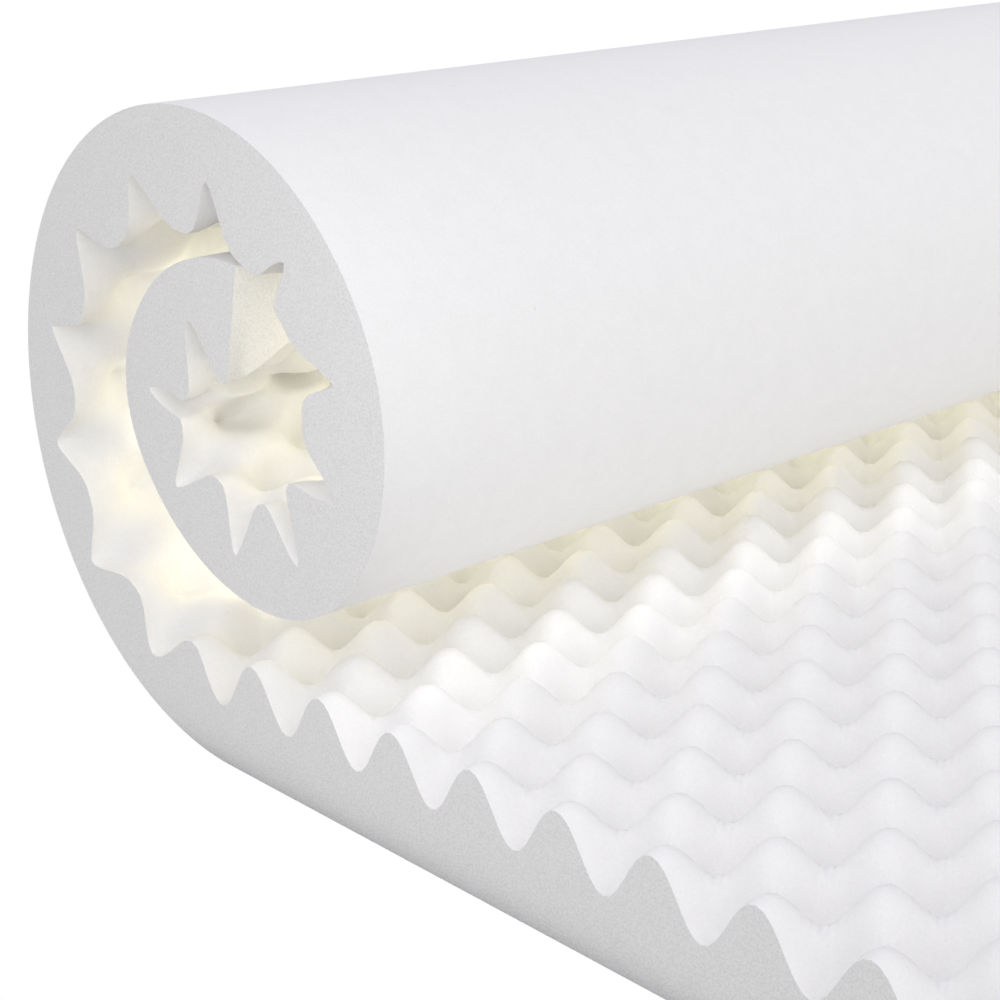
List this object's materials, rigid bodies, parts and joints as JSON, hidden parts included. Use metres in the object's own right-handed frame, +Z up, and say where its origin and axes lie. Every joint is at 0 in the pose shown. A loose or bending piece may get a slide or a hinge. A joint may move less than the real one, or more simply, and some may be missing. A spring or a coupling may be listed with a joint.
{
  "type": "mattress topper",
  "caption": "Convoluted foam mattress topper in one sheet, its peaks upward, laid flat at one end and rolled up at the other, with a smooth back.",
  "frame": {"origin": "middle of the bottom of the bounding box, on the surface that the topper lies on", "axes": "+X along the flat part, away from the roll; +Y along the roll; +Z up"},
  "size_m": [1.3572, 0.895, 0.2638],
  "materials": {
    "foam": "soft open-cell foam, off-white and matte"
  },
  "bodies": {
    "root": {"topper": "foam"}
  },
  "joints": []
}
